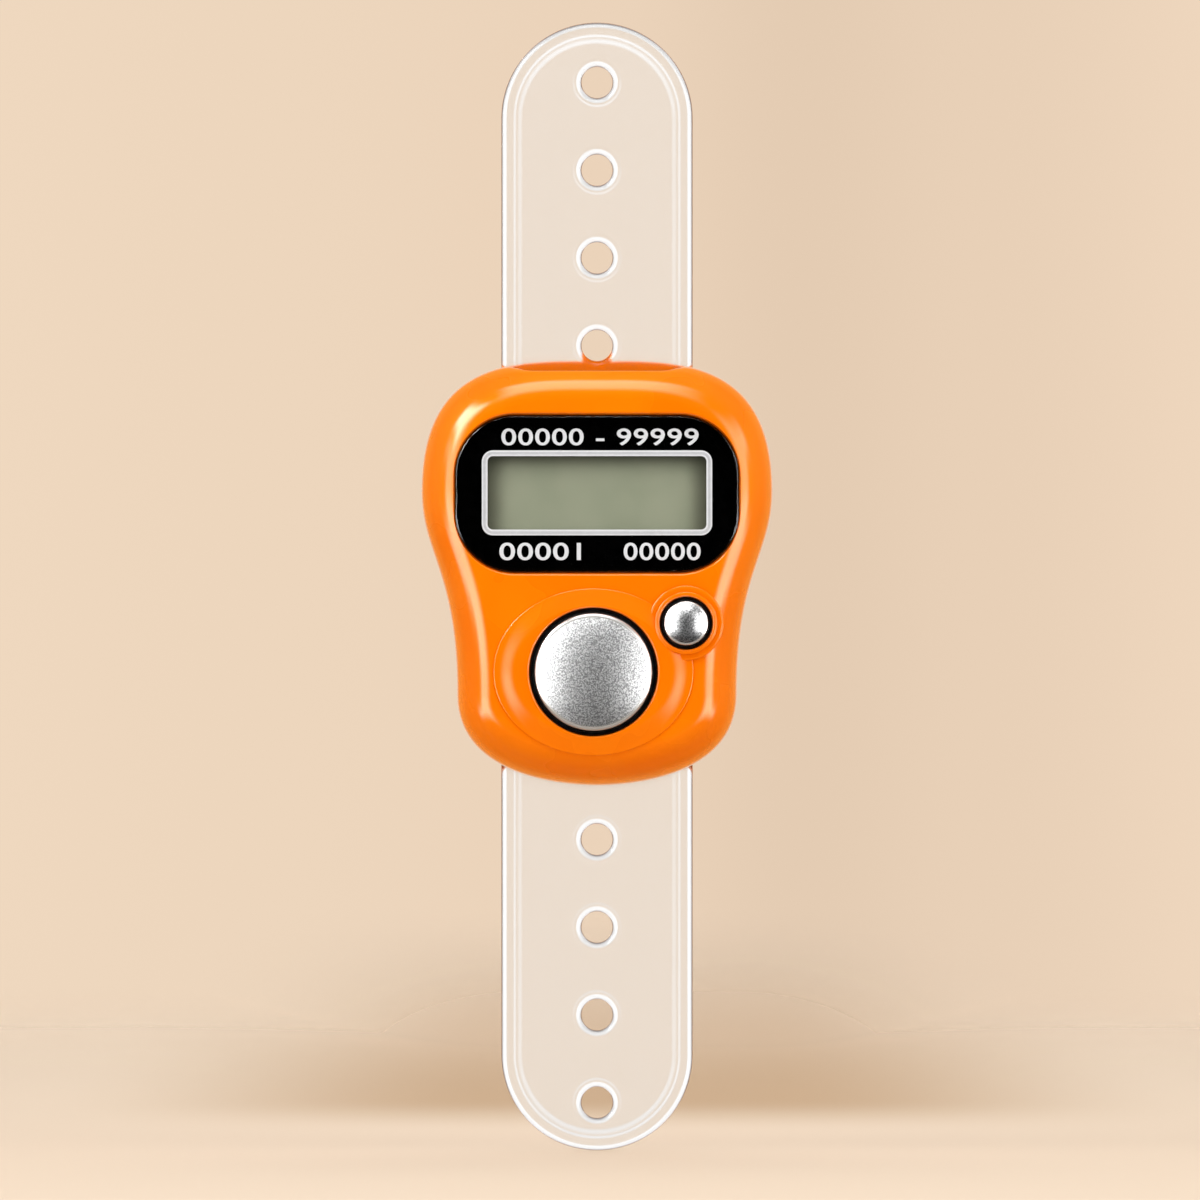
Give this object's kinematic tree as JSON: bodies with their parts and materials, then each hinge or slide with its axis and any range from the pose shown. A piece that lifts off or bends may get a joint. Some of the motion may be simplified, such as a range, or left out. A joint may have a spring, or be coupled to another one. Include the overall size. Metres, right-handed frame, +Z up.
{
  "type": "tally counter",
  "caption": "Finger-worn electronic tally counter: pillow-shaped case with a display window, a large count button, a small reset button and a clear holed strap.",
  "frame": {"origin": "deepest point of the finger seat, the round trough across the back of the case", "axes": "+Z up along the strap, +X to the right as the display is read, the display and buttons face -Y and the finger seat faces +Y"},
  "size_m": [0.031, 0.0167, 0.1],
  "materials": {
    "orange_plastic": "glossy moulded",
    "white_plastic": "matt moulded",
    "clear_lens": "polished clear",
    "black_print": "printed film",
    "black_foam": "foam",
    "display_film": "satin film",
    "display_glass": "polished",
    "reflector_film": "satin film",
    "zebra_rubber": "matt",
    "green_board": "solder mask",
    "black_resin": "cast",
    "tan_ceramic": "matt",
    "black_ceramic": "matt",
    "steel": "plated",
    "nylon": "matt",
    "spring_brass": "bright",
    "satin_silver": "satin metallised",
    "black_plastic": "moulded",
    "black_rubber": "matt",
    "carbon": "matt",
    "clear_strap": "clear, faintly frosted"
  },
  "bodies": {
    "housing": {"front_shell": "orange_plastic", "back_shell": "orange_plastic", "inner_plate": "white_plastic", "display_lens": "clear_lens", "display_mask": "black_print", "display_dust_gasket": "black_foam", "lcd_front_polariser": "display_film", "lcd_front_glass": "display_glass", "lcd_rear_glass": "display_glass", "lcd_rear_polariser": "reflector_film", "zebra_strip_upper": "zebra_rubber", "zebra_strip_lower": "zebra_rubber", "circuit_board": "green_board", "chip_resin_cap": "black_resin", "capacitor": "tan_ceramic", "resistor": "black_ceramic", "cell_can": "steel", "cell_gasket": "nylon", "cell_cap": "steel", "battery_negative_contact": "spring_brass", "battery_positive_contact": "spring_brass", "count_button_ring": "black_plastic", "count_rubber_dome": "black_rubber", "reset_button_ring": "black_plastic", "reset_rubber_dome": "black_rubber", "case_screw_upper_left": "steel", "case_screw_upper_right": "steel", "case_screw_lower_left": "steel", "case_screw_lower_right": "steel", "board_screw_upper": "steel", "board_screw_lower_left": "steel", "board_screw_lower_right": "steel", "strap_middle": "clear_strap"},
    "count_push": {"count_button": "satin_silver", "count_contact_pill": "carbon"},
    "reset_push": {"reset_button": "satin_silver", "reset_contact_pill": "carbon"},
    "upper_tail": {"strap_upper_tail": "clear_strap"},
    "lower_tail": {"strap_lower_tail": "clear_strap"}
  },
  "joints": [
    {"name": "count_press", "type": "slide", "parent": "housing", "child": "count_push", "axis": [0, 1, 0], "range_m": [0, 0.00065], "stiffness_N_per_m": 1800, "springref_m": -0.0003, "deforming": ["count_rubber_dome"]},
    {"name": "reset_press", "type": "slide", "parent": "housing", "child": "reset_push", "axis": [0, 1, 0], "range_m": [0, 0.0005], "stiffness_N_per_m": 1800, "springref_m": -0.0003, "deforming": ["reset_rubber_dome"]},
    {"name": "upper_tail_bend", "type": "hinge", "parent": "housing", "child": "upper_tail", "pos_m": [0, -0.00205, 0.02008], "axis": [-1, 0, 0], "range_deg": [-30, 100], "stiffness_Nm_per_rad": 0.015},
    {"name": "lower_tail_bend", "type": "hinge", "parent": "housing", "child": "lower_tail", "pos_m": [0, -0.00205, -0.02008], "axis": [1, 0, 0], "range_deg": [-30, 100], "stiffness_Nm_per_rad": 0.015}
  ]
}
